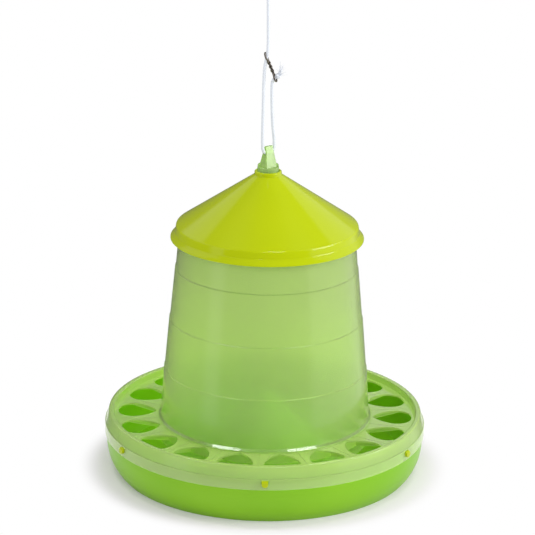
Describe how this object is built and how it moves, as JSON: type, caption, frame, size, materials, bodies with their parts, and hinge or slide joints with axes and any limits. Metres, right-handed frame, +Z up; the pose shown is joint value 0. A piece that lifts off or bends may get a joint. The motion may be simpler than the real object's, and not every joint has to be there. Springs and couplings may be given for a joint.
{
  "type": "gravity poultry feeder",
  "caption": "Hanging gravity feeder for hens: conical lid, tapered hopper and windowed grille ring over a round tray with a central cone, on a cord with a wire adjuster.",
  "frame": {"origin": "centre of the tray's foot, on the surface that it stands on", "axes": "+Z up along the feeder's axis, -Y towards the front"},
  "size_m": [0.3999, 0.406, 0.69],
  "materials": {
    "tray_plastic": "glossy lime green moulded polypropylene",
    "clear_green_plastic": "glossy translucent green moulded polypropylene",
    "lid_plastic": "glossy yellow-green moulded polypropylene",
    "cord": "braided white synthetic cord",
    "dark_steel": "dull bent steel wire",
    "plated_steel": "zinc plated"
  },
  "bodies": {
    "feeder": {"feed_tray": "tray_plastic", "feed_grille": "clear_green_plastic", "hopper": "clear_green_plastic", "hanger": "clear_green_plastic", "hanging_cord": "cord", "cord_end_knot": "cord", "hook_loop_knot": "cord", "cord_adjuster": "dark_steel", "ceiling_hook": "plated_steel"},
    "lid": {"lid": "lid_plastic"}
  },
  "joints": [
    {"name": "lid_lift", "type": "slide", "parent": "feeder", "child": "lid", "axis": [0, 0, 1], "range_m": [0, 0.105]}
  ]
}
